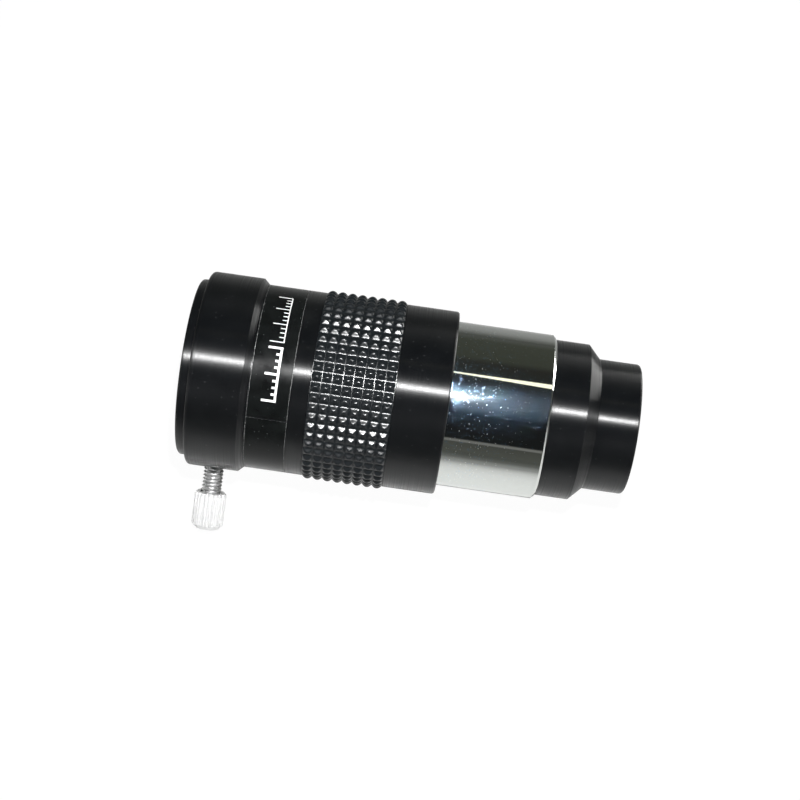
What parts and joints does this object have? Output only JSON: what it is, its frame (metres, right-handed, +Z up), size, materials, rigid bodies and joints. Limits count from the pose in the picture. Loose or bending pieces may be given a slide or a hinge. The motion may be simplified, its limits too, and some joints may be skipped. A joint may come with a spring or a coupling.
{
  "type": "barlow lens",
  "caption": "Push-fit 1.25 inch Barlow lens for a telescope, with a clamping thumbscrew, rubber grip, chrome barrel and screw-off lens cell.",
  "frame": {"origin": "on the optical axis, in the plane of the shoulder where the chrome barrel starts", "axes": "+X along the optical axis towards the nose with the lenses, +Z up with the Barlow lying on its collar and thumbscrew, thumbscrew towards -Y and down"},
  "size_m": [0.0854, 0.0463, 0.0374],
  "materials": {
    "black_anodised": "black anodised aluminium, fine turned, glossy",
    "label": null,
    "grip_rubber": "moulded rubber, satin",
    "chrome": "polished chrome plate",
    "matt_black": "matt black optical paint",
    "optical_glass": "polished, anti-reflection coated",
    "bright_screw": "bright nickel-plated, turned",
    "pad_plastic": "natural nylon",
    "washer_plastic": "black plastic film"
  },
  "bodies": {
    "holder": {"eyepiece_holder": "black_anodised", "clamp_collar": "black_anodised", "label_band": "label", "rubber_grip": "grip_rubber", "chrome_barrel": "chrome", "glare_stop": "matt_black"},
    "doublet": {"crown_lens": "optical_glass", "flint_lens": "optical_glass"},
    "cell": {"lens_cell": "black_anodised", "lens_washer": "washer_plastic", "lens_retaining_ring": "matt_black"},
    "screw_pad": {"thumbscrew_pad": "pad_plastic"},
    "thumbscrew": {"thumbscrew_knob": "bright_screw", "thumbscrew_stud": "bright_screw"}
  },
  "joints": [
    {"name": "cell_travel", "type": "slide", "parent": "holder", "child": "doublet", "axis": [1, 0, 0], "range_m": [0, 0.0048]},
    {"name": "cell_turn", "type": "hinge", "parent": "doublet", "child": "cell", "pos_m": [0.025, 0, 0], "axis": [1, 0, 0], "range_deg": [0, 2885]},
    {"name": "screw_travel", "type": "slide", "parent": "holder", "child": "screw_pad", "axis": [0, 0.8471, 0.5315], "range_m": [-0.0014, 0.0046]},
    {"name": "screw_turn", "type": "hinge", "parent": "screw_pad", "child": "thumbscrew", "pos_m": [-0.04295, -0.02118, -0.01329], "axis": [0, 0.8471, 0.5315], "range_deg": [-725, 2370]}
  ],
  "couplings": [
    {"joint": "cell_turn", "follows": "cell_travel", "rad_per_m": 10472},
    {"joint": "screw_turn", "follows": "screw_travel", "rad_per_m": 8976}
  ]
}
